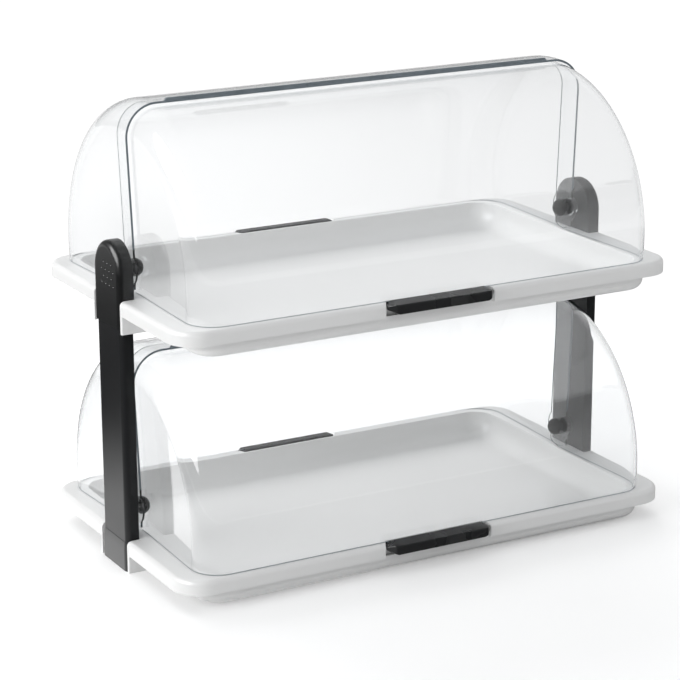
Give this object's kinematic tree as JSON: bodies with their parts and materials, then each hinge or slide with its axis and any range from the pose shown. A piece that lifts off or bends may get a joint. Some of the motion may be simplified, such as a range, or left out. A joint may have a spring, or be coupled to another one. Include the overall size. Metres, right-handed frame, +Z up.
{
  "type": "countertop bread display bin",
  "caption": "Two-tier countertop bread display bin: white trays between end posts, each tier under nested clear half-drum covers that swing up about shared end pivots.",
  "frame": {"origin": "centre of the footprint, on the counter", "axes": "+X along the length, -Y the front, +Z up"},
  "size_m": [0.5122, 0.314, 0.428],
  "materials": {
    "tray_white": "satin white moulded plastic",
    "cover_clear": "clear polished acrylic",
    "handle_black": "satin black",
    "tape_grey": "dark foam bonding strip",
    "stud_black": "satin black",
    "post_black": "fine satin black",
    "moulding_black": "fine satin black",
    "spacer_clear": "clear plastic",
    "screw_steel": "zinc plated"
  },
  "bodies": {
    "stand": {"lower_tray": "tray_white", "upper_tray": "tray_white", "left_post": "post_black", "left_post_cap": "moulding_black", "left_post_foot": "moulding_black", "right_post": "post_black", "right_post_cap": "moulding_black", "right_post_foot": "moulding_black", "pivot_spacers": "spacer_clear", "bracket_screws": "screw_steel"},
    "lower_front_cover_body": {"lower_front_cover": "cover_clear", "lower_front_handle": "handle_black", "lower_front_handle_tape": "tape_grey"},
    "lower_rear_cover_body": {"lower_rear_cover": "cover_clear", "lower_rear_handle": "handle_black", "lower_rear_handle_tape": "tape_grey"},
    "lower_left_stud_body": {"lower_left_stud": "stud_black"},
    "lower_right_stud_body": {"lower_right_stud": "stud_black"},
    "upper_front_cover_body": {"upper_front_cover": "cover_clear", "upper_front_handle": "handle_black", "upper_front_handle_tape": "tape_grey"},
    "upper_rear_cover_body": {"upper_rear_cover": "cover_clear", "upper_rear_handle": "handle_black", "upper_rear_handle_tape": "tape_grey"},
    "upper_left_stud_body": {"upper_left_stud": "stud_black"},
    "upper_right_stud_body": {"upper_right_stud": "stud_black"}
  },
  "joints": [
    {"name": "lower_front_swing", "type": "hinge", "parent": "stand", "child": "lower_front_cover_body", "pos_m": [0, 0, 0.0515], "axis": [1, 0, 0], "range_deg": [-90, 0]},
    {"name": "lower_rear_swing", "type": "hinge", "parent": "stand", "child": "lower_rear_cover_body", "pos_m": [0, 0, 0.0515], "axis": [1, 0, 0], "range_deg": [0, 90]},
    {"name": "lower_left_stud_turn", "type": "hinge", "parent": "stand", "child": "lower_left_stud_body", "pos_m": [-0.24, 0, 0.0515], "axis": [1, 0, 0], "continuous": true},
    {"name": "lower_right_stud_turn", "type": "hinge", "parent": "stand", "child": "lower_right_stud_body", "pos_m": [0.24, 0, 0.0515], "axis": [1, 0, 0], "continuous": true},
    {"name": "upper_front_swing", "type": "hinge", "parent": "stand", "child": "upper_front_cover_body", "pos_m": [0, 0, 0.2765], "axis": [1, 0, 0], "range_deg": [-90, 0]},
    {"name": "upper_rear_swing", "type": "hinge", "parent": "stand", "child": "upper_rear_cover_body", "pos_m": [0, 0, 0.2765], "axis": [1, 0, 0], "range_deg": [0, 90]},
    {"name": "upper_left_stud_turn", "type": "hinge", "parent": "stand", "child": "upper_left_stud_body", "pos_m": [-0.24, 0, 0.2765], "axis": [1, 0, 0], "continuous": true},
    {"name": "upper_right_stud_turn", "type": "hinge", "parent": "stand", "child": "upper_right_stud_body", "pos_m": [0.24, 0, 0.2765], "axis": [1, 0, 0], "continuous": true}
  ]
}
